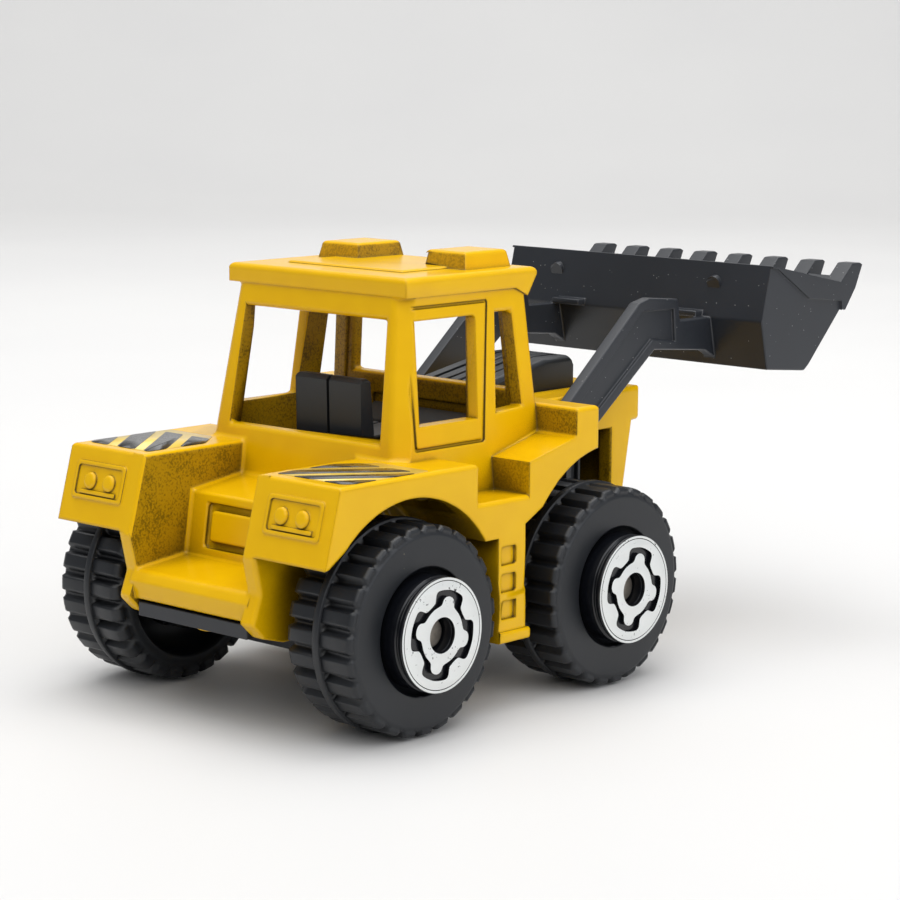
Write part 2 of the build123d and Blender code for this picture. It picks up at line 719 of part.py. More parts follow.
def tyre(x, side):
    """Tyre with a centre rib and rows of lugs that wrap over both rounded shoulders."""
    middle_y = (tyre_inner_y + tyre_outer_y) / 2
    carcass_radius = tyre_radius - tread_depth
    skirt_radius = boss_radius + 0.5
    skirt_y = tyre_outer_y - boss_skirt
    upper = shoulder(0)
    lower = [(radius, 2 * middle_y - y) for radius, y in upper]
    profile = [(tyre_bore, tyre_inner_y)] + lower[::-1]
    profile += [
        (carcass_radius, middle_y - rib_width / 2),
        (tyre_radius, middle_y - rib_width / 2),
        (tyre_radius, middle_y + rib_width / 2),
        (carcass_radius, middle_y + rib_width / 2),
    ]
    profile += upper
    profile += [(skirt_radius, tyre_outer_y), (skirt_radius, skirt_y), (tyre_bore, skirt_y)]
    body = turned(profile, x, 1)

    # Lugs: one star of bars, trimmed to the raised outline of the tread.
    sink = 0.02
    root = carcass_radius - shoulder_radius - 0.4
    raised = [(radius, y - sink) for radius, y in shoulder(tread_depth - lug_drop)]
    fallen = [(radius, 2 * middle_y - y) for radius, y in raised]
    envelope = turned([(root, raised[-1][1] - 0.5), (root, fallen[-1][1] + 0.5)] + fallen[::-1] + raised, x, 1)
    bar = Pos(0, middle_y, (root + tyre_radius) / 2) * Box(lug_width, tyre_width, tyre_radius - root + 0.4)
    star = [Rot(0, index * 360 / lug_count, 0) * bar for index in range(lug_count)]
    body += envelope & (Pos(x, 0, axle_z) * Compound(star))
    return body if side > 0 else mirror(body, about=Plane.XZ)


def hub(x, side):
    """Hub barrel inside the tyre, with the boss that carries the printed face."""
    bore = axle_radius + running_gap
    barrel = tyre_bore - fit_gap
    recess = axle_head_radius + 0.12
    recess_y = axle_end_y - axle_head_length - running_gap
    profile = [
        (bore, tyre_inner_y - 0.1),
        (barrel, tyre_inner_y - 0.1),
        (barrel, tyre_outer_y - boss_skirt),
        (boss_radius, tyre_outer_y - boss_skirt),
        (boss_radius, hub_face_y - 0.75),
        (boss_radius - 0.25, hub_face_y - 0.65),
        (boss_radius - 0.25, hub_face_y - 0.45),
        (boss_radius, hub_face_y - 0.35),
        (boss_radius - 0.05, hub_face_y),
        (recess, hub_face_y),
        (recess, recess_y),
        (bore, recess_y),
    ]
    return turned(profile, x, side)


def hub_print(x, side):
    """Foil face of the hub: an outer ring with four lobes and a centre ring with four knobs."""
    ring_outer = boss_radius - 0.05
    ring_inner = 3.75
    lobe_radius = 0.62
    lobe_reach = 3.38
    lobe_root = 1.15
    centre_outer = 2.35
    knob_radius = 0.55
    knob_reach = 2.85
    turn = 15.4
    hole = axle_head_radius + 0.12
    flare = [
        (lobe_reach, -lobe_radius),
        (ring_inner + 0.3, -lobe_root),
        (ring_inner + 0.3, lobe_root),
        (lobe_reach, lobe_radius),
    ]
    lobe = Pos(lobe_reach, 0) * Circle(lobe_radius) + make_face(Polyline(*flare, close=True))
    knob = Pos(knob_reach, 0) * Circle(knob_radius)
    knob += Pos((centre_outer - 0.2 + knob_reach) / 2, 0) * Rectangle(
        knob_reach - centre_outer + 0.2, 2 * knob_radius
    )
    art = Circle(ring_outer) - Circle(ring_inner)
    for quarter in range(4):
        art += Rot(0, 0, 45 + 90 * quarter) * lobe
    art += Circle(centre_outer) - Circle(hole)
    for quarter in range(4):
        art += Rot(0, 0, 90 * quarter) * knob
    face = Plane(origin=(x, hub_face_y, axle_z), x_dir=(1, 0, 0), z_dir=(0, 1, 0))
    left = extrude(face * (Rot(0, 0, turn) * art), amount=print_thickness)
    return left if side > 0 else mirror(left, about=Plane.XZ)


def stripe_print(side):
    """Printed warning stripes on the top of one rear fender."""
    near = chassis_inner_y + 1.0
    far = side_y - 0.5
    start = fender_back_x + fender_lean + 1.2
    end = cab_back_x - 0.4
    corners = [(start, far), (end, far), (end, near), (start, near)]
    patch = make_face(Polyline(*[(x, y, fender_top_z) for x, y in corners], close=True))
    left = extrude(patch, amount=print_thickness, dir=(0, 0, 1))
    return left if side > 0 else mirror(left, about=Plane.XZ)


def assembly():
    """Every piece by node name."""
    pieces = {
        "body_casting": body_casting(),
        "base_plate": base_plate(),
        "seat_moulding": seat_moulding(),
        "engine_moulding": engine_moulding(),
        "shovel": shovel(),
        "rear_axle": axle(0),
        "front_axle": axle(wheel_base),
        "stripe_print_left": stripe_print(1),
        "stripe_print_right": stripe_print(-1),
    }
    for end, x in (("rear", 0), ("front", wheel_base)):
        for name, side in (("left", 1), ("right", -1)):
            pieces[f"tyre_{end}_{name}"] = tyre(x, side)
            pieces[f"hub_{end}_{name}"] = hub(x, side)
            pieces[f"hub_print_{end}_{name}"] = hub_print(x, side)
    return pieces


os.makedirs("parts", exist_ok=True)
pieces = assembly()
limits = Compound(children=[Compound(piece.solids()) for piece in pieces.values()]).bounding_box()
shift_x = -(limits.min.X + limits.max.X) / 2
for name, piece in pieces.items():
    export_step(Compound(children=(Pos(shift_x, 0, 0) * piece).solids()), f"parts/{name}.step")
print("length, width, height", [round(size, 2) for size in limits.size])
print("forward shift", round(shift_x, 3), "low", round(limits.min.Z, 3))
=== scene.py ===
import math

import bmesh
import bpy
from mathutils import Matrix, Vector
from mathutils.bvhtree import BVHTree
from mathutils.kdtree import KDTree


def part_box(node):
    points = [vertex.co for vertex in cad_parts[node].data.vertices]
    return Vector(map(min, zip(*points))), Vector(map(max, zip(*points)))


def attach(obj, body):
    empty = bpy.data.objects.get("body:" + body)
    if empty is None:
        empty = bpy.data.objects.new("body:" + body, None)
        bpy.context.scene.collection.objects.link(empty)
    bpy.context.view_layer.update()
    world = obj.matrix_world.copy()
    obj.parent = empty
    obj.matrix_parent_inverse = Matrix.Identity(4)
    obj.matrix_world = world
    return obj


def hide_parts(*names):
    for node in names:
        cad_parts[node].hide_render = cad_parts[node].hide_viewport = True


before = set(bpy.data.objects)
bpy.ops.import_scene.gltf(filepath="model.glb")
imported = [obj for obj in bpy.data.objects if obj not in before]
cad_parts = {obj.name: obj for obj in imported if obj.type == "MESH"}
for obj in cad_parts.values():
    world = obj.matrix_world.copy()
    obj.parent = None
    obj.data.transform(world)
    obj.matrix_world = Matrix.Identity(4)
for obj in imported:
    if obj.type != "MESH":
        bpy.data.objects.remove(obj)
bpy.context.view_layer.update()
mm = 0.001
weldGap = 0.0005            # millimetres; points closer than this are one point
plasticIor = 1.5            # also enamel, ink and the lacquer over the foil
wheelNames = ["rear_left", "rear_right", "front_left", "front_right"]
print("frame loaded:", len(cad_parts), "CAD pieces")


# Small helpers, used by every piece
def linearColour(hexText):
    # sRGB hex to the linear values that the shaders take
    channels = [int(hexText[start:start + 2], 16) / 255 for start in (1, 3, 5)]
    return [c / 12.92 if c <= 0.04045 else ((c + 0.055) / 1.055) ** 2.4 for c in channels] + [1.0]


def addNode(tree, kind, settings=None, links=None):
    # lower-case names are the node's own options and come first, the rest are its sockets
    node = tree.nodes.new(kind)
    for name, value in (settings or {}).items():
        if str(name).islower():
            setattr(node, name, value)
        else:
            node.inputs[name].default_value = value
    for name, socket in (links or {}).items():
        tree.links.new(socket, node.inputs[name])
    return node


def newMaterial(name, sockets):
    material = bpy.data.materials.new(name)
    material.use_nodes = True
    shader = material.node_tree.nodes["Principled BSDF"]
    for socket, value in sockets.items():
        shader.inputs[socket].default_value = value
    return material, material.node_tree, shader


def patternScale(size):
    # noise scale for a grain of that many millimetres
    return 1.0 / (size * mm)


def newVerts(result):
    # the points that an extrude has just made
    return [item for item in result["geom"] if isinstance(item, bmesh.types.BMVert)]


def breakEdges(bm, edges, width):
    # the small round that a mould leaves along its edges
    bmesh.ops.bevel(bm, geom=edges, offset=width, offset_type="OFFSET", segments=2, profile=0.5,
                    affect="EDGES", clamp_overlap=True, material=-1)


def finishPiece(bm, name, body, materials, replaced):
    mesh = bpy.data.meshes.new(name)
    bm.to_mesh(mesh)
    bm.free()
    for extra in ("custom_normal", "sharp_edge", "sharp_face"):
        if extra in mesh.attributes:
            mesh.attributes.remove(mesh.attributes[extra])
    for material in materials:
        mesh.materials.append(material)
    mesh.shade_smooth()
    piece = bpy.data.objects.new(name, mesh)
    bpy.context.scene.collection.objects.link(piece)
    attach(piece, body)
    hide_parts(*replaced)
    return piece


def evenShading(piece):
    # flat faces stay flat beside rounded edges
    weighted = piece.modifiers.new("evenShading", "WEIGHTED_NORMAL")
    weighted.weight = 80
    weighted.keep_sharp = True


# Sprayed gloss enamel on die-cast zinc: warm yellow, thin and dark-flecked where the spray didn't reach, with
# painted shade in grooves and hollows and on faces turned inwards
enamelFinish = {
    "paint": "#E8B701",
    "paintDeep": "#E0AC01",
    # a darker tone for thin paint, deepened as painted shade on faces turned inwards and not up
    "thinPaintAndShade": "#A07D06",
    "fleck": "#5E4A05",
    # painted shade in narrow grooves
    "grime": "#5A4606",
    # painted shade deep in the hollows
    "bare": "#2E2205",
    "specular": 0.26,
    "coat": 0.05,
    "coatRoughness": 0.12,
    "roughness": 0.24,
    "thinRoughness": 0.42,
    "fullShadow": -3.5,     # millimetres that a face looks back towards the middle, in full spray shadow and full painted shade
    "noShadow": -0.8,
    "thinAndShadeShare": 0.85,
    "fleckSize": 0.2,
    "fleckPatch": 2.4,
    "patchPower": 0.45,
    "grooveReach": 0.9,
    "hollowReach": 7,
    "peelSize": 1.4,
    "peelDepth": 0.02,
    "fleckHeight": 0.4,
    "pooling": 0.34,        # thick paint softens edges and corners over this many millimetres
}


def makeEnamel(finish, cabMiddleX):
    material, tree, shader = newMaterial("sprayedEnamel", {
        "Metallic": 0.0,
        "IOR": plasticIor,
        "Specular IOR Level": finish["specular"],
        "Coat Weight": finish["coat"],
        "Coat Roughness": finish["coatRoughness"],
        "Coat IOR": plasticIor,
    })
    place = addNode(tree, "ShaderNodeTexCoord")
    spot, facing = place.outputs["Object"], place.outputs["Normal"]

    # Faces that look back towards the middle of the toy, and don't face up, were in the spray's shadow and
    # take a darker tone that is also painted shade
    centred = addNode(tree, "ShaderNodeVectorMath", {
        "operation": "SUBTRACT", 1: (cabMiddleX, 0, 0),
    }, {0: spot})
    level = addNode(tree, "ShaderNodeVectorMath", {
        "operation": "MULTIPLY", 1: (1, 1, 0),
    }, {0: centred.outputs[0]})
    inward = addNode(tree, "ShaderNodeVectorMath", {
        "operation": "DOT_PRODUCT",
    }, {0: level.outputs[0], 1: facing})
    shaded = addNode(tree, "ShaderNodeMapRange", {
        "interpolation_type": "SMOOTHSTEP",
        "From Min": finish["fullShadow"] * mm, "From Max": finish["noShadow"] * mm,
        "To Min": 1.0, "To Max": 0.0,
    }, {"Value": inward.outputs["Value"]})
    split = addNode(tree, "ShaderNodeSeparateXYZ", {}, {0: facing})
    notUp = addNode(tree, "ShaderNodeMapRange", {
        "interpolation_type": "SMOOTHSTEP",
        "From Min": 0.25, "From Max": 0.7, "To Min": 1.0, "To Max": 0.0,
    }, {"Value": split.outputs["Z"]})
    thinAndShaded = addNode(tree, "ShaderNodeMath", {
        "operation": "MULTIPLY",
    }, {0: shaded.outputs[0], 1: notUp.outputs[0]})

    # Narrow grooves hold a dark line: painted shade, from ambient occlusion
    corner = addNode(tree, "ShaderNodeAmbientOcclusion", {
        "samples": 8, "only_local": True, "Distance": finish["grooveReach"] * mm,
    })
    groove = addNode(tree, "ShaderNodeMapRange", {
        "interpolation_type": "SMOOTHSTEP",
        "From Min": 0.35, "From Max": 0.8, "To Min": 0.8, "To Max": 0.0,
    }, {"Value": corner.outputs["AO"]})

    # Flecks of bare metal come in patches, and only where the paint is thin
    flecks = addNode(tree, "ShaderNodeTexNoise", {
        "Scale": patternScale(finish["fleckSize"]), "Detail": 2.0, "Roughness": 0.6,
    }, {"Vector": spot})
    patches = addNode(tree, "ShaderNodeTexNoise", {
        "Scale": patternScale(finish["fleckPatch"]), "Detail": 1.0,
    }, {"Vector": spot})
    fleckPower = addNode(tree, "ShaderNodeMath", {
        "operation": "MULTIPLY_ADD", 1: finish["patchPower"],
    }, {0: patches.outputs["Fac"], 2: flecks.outputs["Fac"]})
    fleckMask = addNode(tree, "ShaderNodeMapRange", {
        "interpolation_type": "SMOOTHSTEP",
        "From Min": 0.62, "From Max": 0.95, "To Min": 0.0, "To Max": 0.8,
    }, {"Value": fleckPower.outputs[0]})
    fleckHere = addNode(tree, "ShaderNodeMath", {
        "operation": "MULTIPLY",
    }, {0: fleckMask.outputs[0], 1: thinAndShaded.outputs[0]})

    tone = addNode(tree, "ShaderNodeMix", {
        "data_type": "RGBA", 6: linearColour(finish["paint"]), 7: linearColour(finish["paintDeep"]),
    }, {0: patches.outputs["Fac"]})
    thinAndShadeShare = addNode(tree, "ShaderNodeMath", {
        "operation": "MULTIPLY", 1: finish["thinAndShadeShare"],
    }, {0: thinAndShaded.outputs[0]})
    # thin paint on faces turned inwards and not up, its darker tone also painted shade
    thinnedAndShaded = addNode(tree, "ShaderNodeMix", {
        "data_type": "RGBA", 7: linearColour(finish["thinPaintAndShade"]),
    }, {0: thinAndShadeShare.outputs[0], 6: tone.outputs[2]})
    flecked = addNode(tree, "ShaderNodeMix", {
        "data_type": "RGBA", 7: linearColour(finish["fleck"]),
    }, {0: fleckHere.outputs[0], 6: thinnedAndShaded.outputs[2]})

    # Deep inside the casting the colour is darkened towards near-black by ambient occlusion: painted shade in
    # the hollows
    hollow = addNode(tree, "ShaderNodeAmbientOcclusion", {
        "samples": 6, "Distance": finish["hollowReach"] * mm,
    })
    bare = addNode(tree, "ShaderNodeMapRange", {
        "interpolation_type": "SMOOTHSTEP",
        "From Min": 0.22, "From Max": 0.58, "To Min": 0.92, "To Max": 0.0,
    }, {"Value": hollow.outputs["AO"]})
    # painted shade: near-black deep in the hollows
    hollowShaded = addNode(tree, "ShaderNodeMix", {
        "data_type": "RGBA", 7: linearColour(finish["bare"]),
    }, {0: bare.outputs[0], 6: flecked.outputs[2]})
    # painted shade: a dark line in narrow grooves
    grooveShaded = addNode(tree, "ShaderNodeMix", {
        "data_type": "RGBA", 7: linearColour(finish["grime"]),
    }, {0: groove.outputs[0], 6: hollowShaded.outputs[2]})
    tree.links.new(grooveShaded.outputs[2], shader.inputs["Base Color"])

    gloss = addNode(tree, "ShaderNodeMapRange", {
        "To Min": finish["roughness"], "To Max": finish["thinRoughness"],
    }, {"Value": thinAndShaded.outputs[0]})
    tree.links.new(gloss.outputs[0], shader.inputs["Roughness"])

    # Orange peel over the whole coat, and grit under the thin paint
    peel = addNode(tree, "ShaderNodeTexNoise", {
        "Scale": patternScale(finish["peelSize"]), "Detail": 1.0,
    }, {"Vector": spot})
    grit = addNode(tree, "ShaderNodeMath", {
        "operation": "MULTIPLY_ADD", 1: finish["fleckHeight"],
    }, {0: fleckHere.outputs[0], 2: peel.outputs["Fac"]})
    pooled = addNode(tree, "ShaderNodeBevel", {"samples": 6, "Radius": finish["pooling"] * mm})
    bump = addNode(tree, "ShaderNodeBump", {
        "Strength": 0.5, "Distance": finish["peelDepth"] * mm,
    }, {"Height": grit.outputs[0], "Normal": pooled.outputs[0]})
    tree.links.new(bump.outputs[0], shader.inputs["Normal"])
    return material


# What the moulded plastics share
mouldedPlastic = {
    "specular": 0.5,
    "glossier": 0.04,       # how far the roughness strays below and above the finish's own
    "duller": 0.06,
    "dustDull": 0.4,
    "dustFade": 0.6,        # a grain of dust is solid out to this share of its size
    # painted shade in narrow grooves, and how far it reaches
    "grooveShadeBlack": (0.001, 0.001, 0.001, 1),
    "grooveReach": 1.1,
    "grainDepth": 0.01,
}


def makePlastic(finish, common=mouldedPlastic):
    # flat colour with a slight mould texture, dust where it settles, and painted shade in narrow grooves
    material, tree, shader = newMaterial(finish["name"], {
        "Metallic": 0.0,
        "IOR": plasticIor,
        "Specular IOR Level": common["specular"],
    })
    place = addNode(tree, "ShaderNodeTexCoord")
    spot = place.outputs["Object"]
    cloud = addNode(tree, "ShaderNodeTexNoise", {
        "Scale": patternScale(finish["cloudSize"]), "Detail": 2.0,
    }, {"Vector": spot})
    tone = addNode(tree, "ShaderNodeMix", {
        "data_type": "RGBA", 6: linearColour(finish["colour"]), 7: linearColour(finish["faded"]),
    }, {0: cloud.outputs["Fac"]})

    # Dust: a few pale points, each in a cell of its own
    cells = addNode(tree, "ShaderNodeTexVoronoi", {
        "feature": "F1", "Scale": patternScale(finish["dustSpacing"]),
    }, {"Vector": spot})
    point = addNode(tree, "ShaderNodeMapRange", {
        "From Min": finish["dustSize"] * common["dustFade"], "From Max": finish["dustSize"],
        "To Min": 1.0, "To Max": 0.0,
    }, {"Value": cells.outputs["Distance"]})
    chance = addNode(tree, "ShaderNodeSeparateColor", {}, {0: cells.outputs["Color"]})
    chosen = addNode(tree, "ShaderNodeMath", {
        "operation": "GREATER_THAN", 1: 1 - finish["dustShare"],
    }, {0: chance.outputs[0]})
    dust = addNode(tree, "ShaderNodeMath", {
        "operation": "MULTIPLY",
    }, {0: point.outputs[0], 1: chosen.outputs[0]})
    dusty = addNode(tree, "ShaderNodeMix", {
        "data_type": "RGBA", 7: linearColour(finish["dust"]),
    }, {0: dust.outputs[0], 6: tone.outputs[2]})

    # Narrow grooves are painted black: painted shade from ambient occlusion
    corner = addNode(tree, "ShaderNodeAmbientOcclusion", {
        "samples": 6, "only_local": True, "Distance": common["grooveReach"] * mm,
    })
    groove = addNode(tree, "ShaderNodeMapRange", {
        "From Min": 0.3, "From Max": 0.75, "To Min": finish["grooveShadeStrength"], "To Max": 0.0,
    }, {"Value": corner.outputs["AO"]})
    grooved = addNode(tree, "ShaderNodeMix", {
        "data_type": "RGBA", 7: common["grooveShadeBlack"],
    }, {0: groove.outputs[0], 6: dusty.outputs[2]})
    tree.links.new(grooved.outputs[2], shader.inputs["Base Color"])

    gloss = addNode(tree, "ShaderNodeMapRange", {
        "To Min": finish["roughness"] - common["glossier"], "To Max": finish["roughness"] + common["duller"],
    }, {"Value": cloud.outputs["Fac"]})
    dull = addNode(tree, "ShaderNodeMath", {
        "operation": "MULTIPLY_ADD", 1: common["dustDull"],
    }, {0: dust.outputs[0], 2: gloss.outputs[0]})
    tree.links.new(dull.outputs[0], shader.inputs["Roughness"])
    grain = addNode(tree, "ShaderNodeTexNoise", {
        "Scale": patternScale(finish["grainSize"]), "Detail": 2.0,
    }, {"Vector": spot})
    bump = addNode(tree, "ShaderNodeBump", {
        "Strength": finish["grain"], "Distance": common["grainDepth"] * mm,
    }, {"Height": grain.outputs["Fac"]})
    tree.links.new(bump.outputs[0], shader.inputs["Normal"])
    return material


# in each finish, the groove setting is how strongly narrow grooves are darkened as painted shade
# Semi-gloss black moulded plastic of the shovel, with specks of pale dust
shovelFinish = {
    "name": "shovelPlastic", "colour": "#1F2227", "faded": "#272A30", "roughness": 0.36,
    "cloudSize": 6.0, "grainSize": 0.3, "grain": 0.25, "grooveShadeStrength": 0.4,
    "dust": "#A9AAA8", "dustSpacing": 0.5, "dustSize": 0.1, "dustShare": 0.3,
}
# The seat's and the engine's black plastic, with less dust on it
interiorFinish = {
    "name": "interiorPlastic", "colour": "#1F2124", "faded": "#26292C", "roughness": 0.36,
    "cloudSize": 5.0, "grainSize": 0.3, "grain": 0.3, "grooveShadeStrength": 0.5,
    "dust": "#8E8F8C", "dustSpacing": 0.9, "dustSize": 0.09, "dustShare": 0.07,
}
# Satin base plate, greyer from handling
baseFinish = {
    "name": "baseSatinPlastic", "colour": "#212327", "faded": "#282A2F", "roughness": 0.42,
    "cloudSize": 4.0, "grainSize": 0.25, "grain": 0.4, "grooveShadeStrength": 0.5,
    "dust": "#8E8F8C", "dustSpacing": 0.9, "dustSize": 0.09, "dustShare": 0.05,
}
# Hard satin vinyl of the tyres
tyreFinish = {
    "name": "tyreVinyl", "colour": "#111418", "faded": "#16191E", "roughness": 0.4,
    "cloudSize": 3.0, "grainSize": 0.2, "grain": 0.4, "grooveShadeStrength": 0.95,
    "dust": "#77705F", "dustSpacing": 0.8, "dustSize": 0.08, "dustShare": 0.04,
}
# Gloss black of the hub bosses
hubFinish = {
    "name": "hubGlossPlastic", "colour": "#0B0C10", "faded": "#101217", "roughness": 0.2,
    "cloudSize": 3.0, "grainSize": 0.3, "grain": 0.15, "grooveShadeStrength": 0.3,
    "dust": "#8E8F8C", "dustSpacing": 0.9, "dustSize": 0.08, "dustShare": 0.06,
}

# Hot-stamped silver foil: bright and nearly white, with small chips down to the black plastic
foilFinish = {
    "silver": "#E2E4E2",
    "chip": "#2A2A2C",
    "chipSize": 0.28,
    "patchSize": 2.2,
    "patchPower": 0.35,
    "metallic": 0.45,       # a lacquered foil isn't a full mirror
    "roughness": 0.36,
    "wornRoughness": 0.5,
    "texture": 0.008,
}


def makeFoil(finish):
    material, tree, shader = newMaterial("hotStampedFoil", {"IOR": plasticIor, "Specular IOR Level": 0.5})
    place = addNode(tree, "ShaderNodeTexCoord")
    spot = place.outputs["Object"]
    chips = addNode(tree, "ShaderNodeTexNoise", {
        "Scale": patternScale(finish["chipSize"]), "Detail": 3.0, "Roughness": 0.65,
    }, {"Vector": spot})
    patches = addNode(tree, "ShaderNodeTexNoise", {
        "Scale": patternScale(finish["patchSize"]), "Detail": 0.0,
    }, {"Vector": spot})
    power = addNode(tree, "ShaderNodeMath", {
        "operation": "MULTIPLY_ADD", 1: finish["patchPower"],
    }, {0: patches.outputs["Fac"], 2: chips.outputs["Fac"]})
    chipped = addNode(tree, "ShaderNodeMapRange", {
        "From Min": 0.86, "From Max": 0.9, "To Min": 0.0, "To Max": 1.0,
    }, {"Value": power.outputs[0]})
    tone = addNode(tree, "ShaderNodeMix", {
        "data_type": "RGBA", 6: linearColour(finish["silver"]), 7: linearColour(finish["chip"]),
    }, {0: chipped.outputs[0]})
    tree.links.new(tone.outputs[2], shader.inputs["Base Color"])
    metal = addNode(tree, "ShaderNodeMapRange", {
        "To Min": finish["metallic"], "To Max": 0.0,
    }, {"Value": chipped.outputs[0]})
    tree.links.new(metal.outputs[0], shader.inputs["Metallic"])
    gloss = addNode(tree, "ShaderNodeMapRange", {
        "To Min": finish["roughness"], "To Max": finish["wornRoughness"],
    }, {"Value": patches.outputs["Fac"]})
    tree.links.new(gloss.outputs[0], shader.inputs["Roughness"])
    bump = addNode(tree, "ShaderNodeBump", {
        "Strength": 0.3, "Distance": finish["texture"] * mm,
    }, {"Height": chips.outputs["Fac"]})
    tree.links.new(bump.outputs[0], shader.inputs["Normal"])
    return material


# Gloss printing inks, mottled like a pad print: the dark warning bars and the cream ground under them
inkFinish = {
    "name": "padPrintInk", "colour": "#242427", "worn": "#34332F", "mottle": 0.5,
    "roughness": 0.22, "duller": 0.12,
}
creamFinish = {
    "name": "padPrintCream", "colour": "#EDD06A", "worn": "#E8C450", "mottle": 0.5,
    "roughness": 0.25, "duller": 0.12,
}
# Plain steel wire with formed ends, dulled by handling
steelFinish = {
    "name": "plainSteelWire", "colour": "#A39C92", "worn": "#6E675E", "mottle": 0.6,
    "roughness": 0.35, "duller": 0.2,
}


def makeMottled(finish, sockets):
    # two close tones, clouded into each other, the second a little duller
    material, tree, shader = newMaterial(finish["name"], sockets)
    place = addNode(tree, "ShaderNodeTexCoord")
    mottle = addNode(tree, "ShaderNodeTexNoise", {
        "Scale": patternScale(finish["mottle"]), "Detail": 3.0,
    }, {"Vector": place.outputs["Object"]})
    tone = addNode(tree, "ShaderNodeMix", {
        "data_type": "RGBA", 6: linearColour(finish["colour"]), 7: linearColour(finish["worn"]),
    }, {0: mottle.outputs["Fac"]})
    tree.links.new(tone.outputs[2], shader.inputs["Base Color"])
    gloss = addNode(tree, "ShaderNodeMapRange", {
        "To Min": finish["roughness"], "To Max": finish["roughness"] + finish["duller"],
    }, {"Value": mottle.outputs["Fac"]})
    tree.links.new(gloss.outputs[0], shader.inputs["Roughness"])
    return material


seatLow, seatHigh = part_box("seat_moulding")
enamel = makeEnamel(enamelFinish, (seatLow.x + seatHigh.x) / 2)
shovelPlastic = makePlastic(shovelFinish)
interiorPlastic = makePlastic(interiorFinish)
basePlastic = makePlastic(baseFinish)
tyreVinyl = makePlastic(tyreFinish)
hubPlastic = makePlastic(hubFinish)
silverFoil = makeFoil(foilFinish)
inkGloss = {"IOR": plasticIor, "Coat Weight": 0.4, "Coat Roughness": 0.12}
stripeInk = makeMottled(inkFinish, inkGloss)
creamInk = makeMottled(creamFinish, inkGloss)
axleSteel = makeMottled(steelFinish, {"Metallic": 0.9})
print("materials mixed")


# Castings and mouldings keep the CAD shape, with its edges rounded as a mould leaves them.
# Radius in millimetres, angles in degrees
castBody = {"radius": 0.4, "segments": 3, "weld": 0.002, "flatAngle": 0.8, "sharpAngle": 24}
mouldedBlack = {"radius": 0.16, "segments": 2, "weld": 0.002, "flatAngle": 0.8, "sharpAngle": 24}

edgeRoom = {
    "ofFace": 0.38,         # share of the room across a face that one rounding may take
    "ofNeighbour": 0.4,     # share of the next edge's length
    "straightOn": 150,      # degrees; past this the next edge runs on and sets no limit
    "crispBelow": 0.12,     # an edge rounded by less than this share is shaded as a sharp one
}
# Lengths are shares of the rounding radius
cornerCalm = {
    "rounds": 14,
    "standOff": 0.4,        # how far a rounded point may stand off the CAD shape
    "farFromEdge": 2,       # a point further than this from every rounded edge was thrown there
    "atCorner": 0.1,        # unless it is one of the shape's own corners
    "smallFace": 0.15,      # a turned face smaller than the square of this doesn't show
    "turnedOver": -0.3,     # cosine between such a face and the CAD face under it
    "keep": 0.6,            # share of its rounding that a guilty edge keeps after a round
    "wholeCornerFrom": 6,   # from this round on, every edge at the guilty corner gets less
    "noneFrom": 9,          # and from this one on, a guilty edge gets none
}


def roomAcross(edge, face):
    # how far a face runs on from the edge's middle before it meets another of its edges
    loop = next(corner for corner in face.loops if corner.edge == edge)
    along = (loop.link_loop_next.vert.co - loop.vert.co).normalized()
    inward = face.normal.cross(along)
    middle = (edge.verts[0].co + edge.verts[1].co) / 2
    room = 1.0
    for other in face.edges:
        if other == edge:
            continue
        first, second = (vert.co - middle for vert in other.verts)
        firstAlong, secondAlong = first.dot(along), second.dot(along)
        if firstAlong * secondAlong > 0 or firstAlong == secondAlong:
            continue
        share = firstAlong / (firstAlong - secondAlong)
        reach = first.lerp(second, share).dot(inward)
        if reach > 1e-6:
            room = min(room, reach)
    return room


def roundingFor(edge, steep):
    # the largest radius, in metres, that the faces and edges beside this one leave room for
    radius = min(roomAcross(edge, face) for face in edge.link_faces) * edgeRoom["ofFace"]
    for face in edge.link_faces:
        for vert in edge.verts:
            other = next(e for e in face.edges if e != edge and vert in e.verts)
            turn = (edge.other_vert(vert).co - vert.co).angle(other.other_vert(vert).co - vert.co)
            share = other.calc_length() * edgeRoom["ofNeighbour"]
            if not other[steep]:
                radius = min(radius, share * math.sin(turn))
            elif turn < math.radians(edgeRoom["straightOn"]):
                radius = min(radius, share * math.tan(turn / 2))
    return radius


